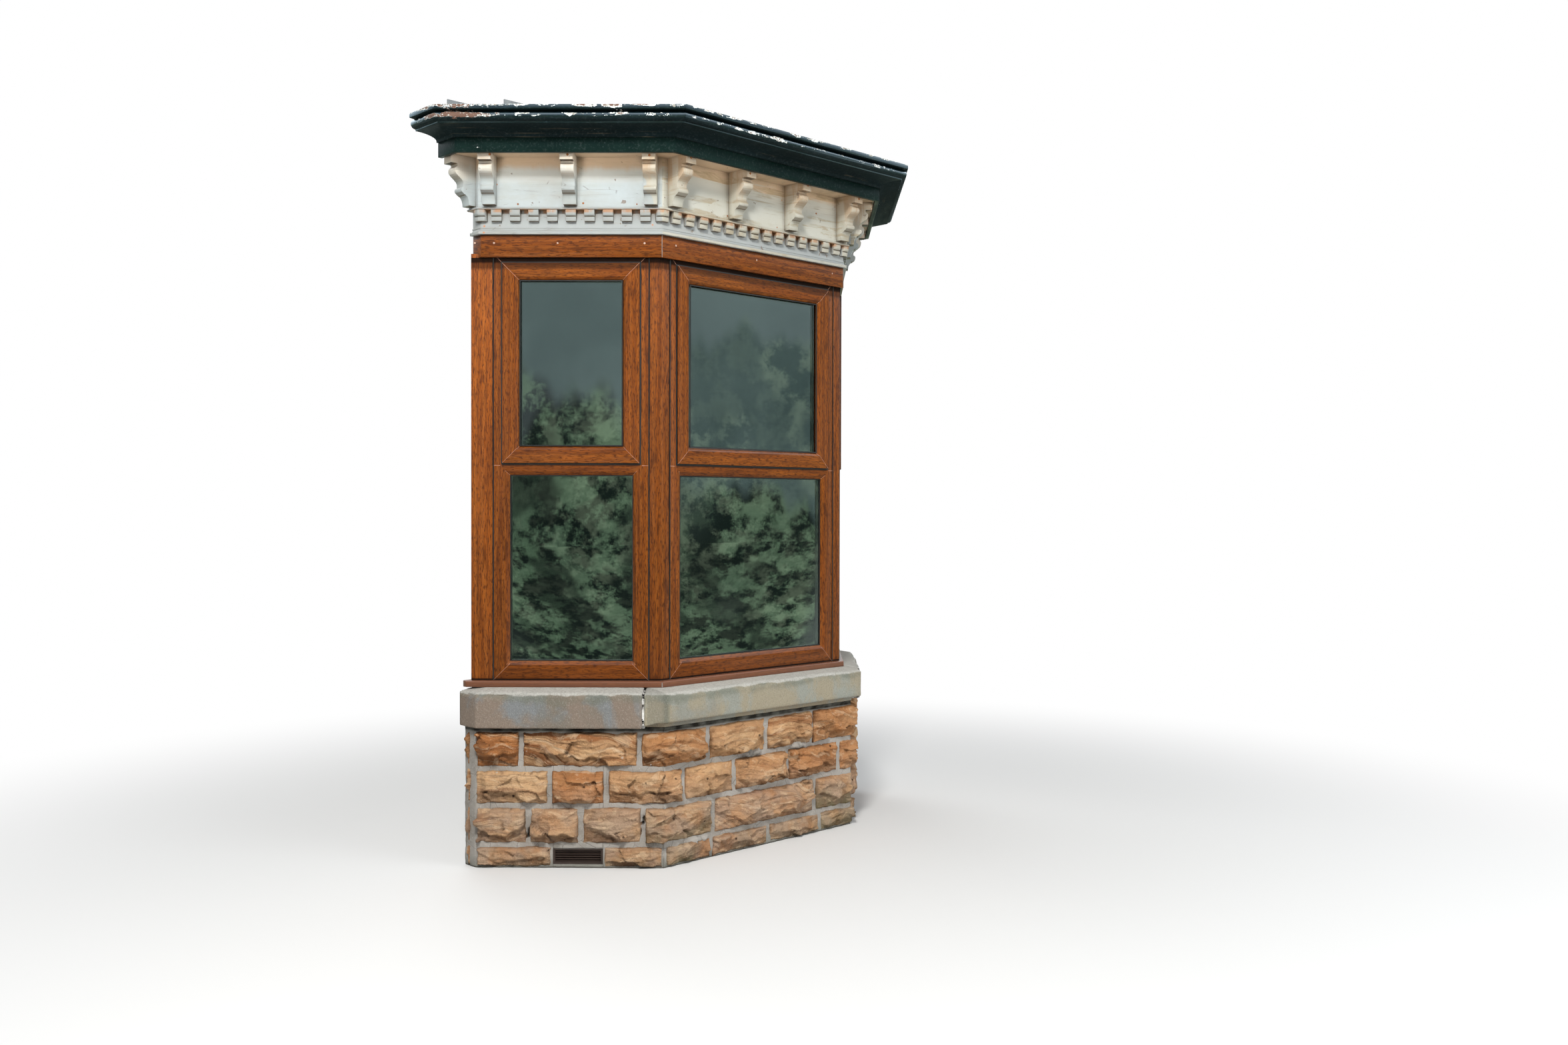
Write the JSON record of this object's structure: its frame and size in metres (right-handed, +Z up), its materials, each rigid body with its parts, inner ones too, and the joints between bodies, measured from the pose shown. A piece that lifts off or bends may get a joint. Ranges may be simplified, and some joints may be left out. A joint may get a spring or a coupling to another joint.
{
  "type": "canted bay window",
  "caption": "Single-storey canted bay window with stone plinth, woodgrain casements, dentil and scroll-bracket entablature, moulded gutter and hipped lead roof.",
  "frame": {"origin": "on the ground, below the middle of the whole bounding box", "axes": "+X along the house wall to the right as seen from outside, +Y into the house, +Z up"},
  "size_m": [2.854, 0.92, 3.4437],
  "materials": {
    "sandstone": "rough",
    "cill_stone": "matte",
    "vent_plastic": "matte",
    "sub_cill_foil": "satin",
    "woodgrain_foil": "satin",
    "glass": "polished",
    "spacer_aluminium": "satin",
    "handle_metal": "satin",
    "white_paint": "painted satin",
    "black_paint": "painted gloss",
    "structural_timber": "matte",
    "lead": "matte",
    "plaster": "matte",
    "white_board": "painted satin",
    "floor_wood": "satin"
  },
  "bodies": {
    "root": {"plinth_left": "sandstone", "plinth_front": "sandstone", "plinth_right": "sandstone", "air_vents": "vent_plastic", "sill_left": "cill_stone", "sill_front": "cill_stone", "sill_right": "cill_stone", "sub_cill": "sub_cill_foil", "jamb_left": "woodgrain_foil", "jamb_right": "woodgrain_foil", "corner_post_left": "woodgrain_foil", "corner_post_right": "woodgrain_foil", "window_frame_left": "woodgrain_foil", "window_frame_front": "woodgrain_foil", "window_frame_right": "woodgrain_foil", "casement_left": "woodgrain_foil", "casement_front": "woodgrain_foil", "casement_right": "woodgrain_foil", "glass_left": "glass", "glass_front": "glass", "glass_right": "glass", "spacer_bars": "spacer_aluminium", "glazing_beads": "woodgrain_foil", "window_handles": "handle_metal", "head_beam": "structural_timber", "fascia": "woodgrain_foil", "dentil_band": "white_paint", "dentils": "white_paint", "ledge": "white_paint", "frieze": "white_paint", "brackets_left": "white_paint", "brackets_front": "white_paint", "brackets_right": "white_paint", "soffit": "white_paint", "cornice_board": "black_paint", "gutter_left": "black_paint", "gutter_front": "black_paint", "gutter_right": "black_paint", "eaves_plate": "structural_timber", "wall_plate": "structural_timber", "rafters": "structural_timber", "roof_deck": "structural_timber", "roof_lead": "lead", "flashing": "lead", "ceiling": "plaster", "window_board": "white_board", "plaster": "plaster", "floor_boards": "floor_wood", "floor_joists": "structural_timber"}
  },
  "joints": []
}
